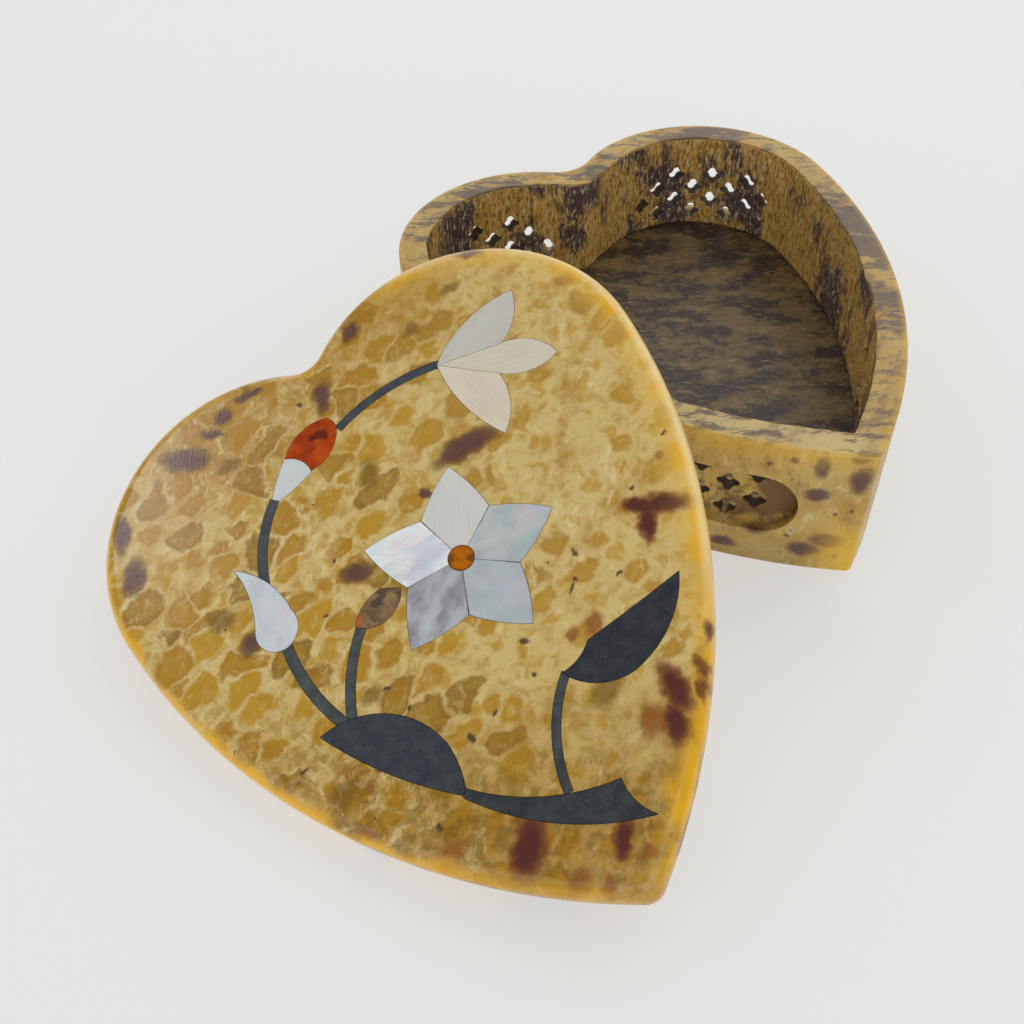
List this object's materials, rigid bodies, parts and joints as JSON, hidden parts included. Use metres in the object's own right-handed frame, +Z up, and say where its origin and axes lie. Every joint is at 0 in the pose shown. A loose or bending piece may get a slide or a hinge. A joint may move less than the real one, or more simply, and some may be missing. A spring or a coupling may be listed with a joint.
{
  "type": "heart-shaped stone trinket box",
  "caption": "Heart-shaped carved stone trinket box with pierced walls and a loose lid, inlaid with shell and stone flowers, leaning on its rim.",
  "frame": {"origin": "centre of the box's bottom face, on the surface it stands on", "axes": "+Z up, -Y towards the tip of the box's heart, +Y towards its two lobes, +X to the right of them"},
  "size_m": [0.1409, 0.125, 0.0372],
  "materials": {
    "box_stone": "satin",
    "lid_stone": "polished",
    "mother_of_pearl": "polished",
    "cream_shell": "polished",
    "carnelian": "polished",
    "amber": "polished",
    "slate": "satin",
    "brown_stone": "satin"
  },
  "bodies": {
    "box": {"box_body": "box_stone"},
    "lid": {"lid_slab": "lid_stone", "flower_eye": "amber", "flower_petal_1": "mother_of_pearl", "flower_petal_2": "mother_of_pearl", "flower_petal_3": "mother_of_pearl", "flower_petal_4": "mother_of_pearl", "flower_petal_5": "mother_of_pearl", "tulip_petal_left": "cream_shell", "tulip_petal_middle": "cream_shell", "tulip_petal_right": "cream_shell", "bud_calyx": "mother_of_pearl", "carnelian_bud": "carnelian", "shell_leaf": "mother_of_pearl", "left_leaf": "slate", "right_leaf": "slate", "branch_foot": "slate", "brown_stem_tip": "brown_stone", "tulip_stem": "slate", "calyx_stem": "slate", "shell_leaf_stem": "slate", "flower_stem": "slate", "right_leaf_stem": "slate"}
  },
  "joints": [
    {"name": "lid_lift", "type": "slide", "parent": "box", "child": "lid", "axis": [0, 0, 1], "range_m": [0, 0.06]}
  ]
}
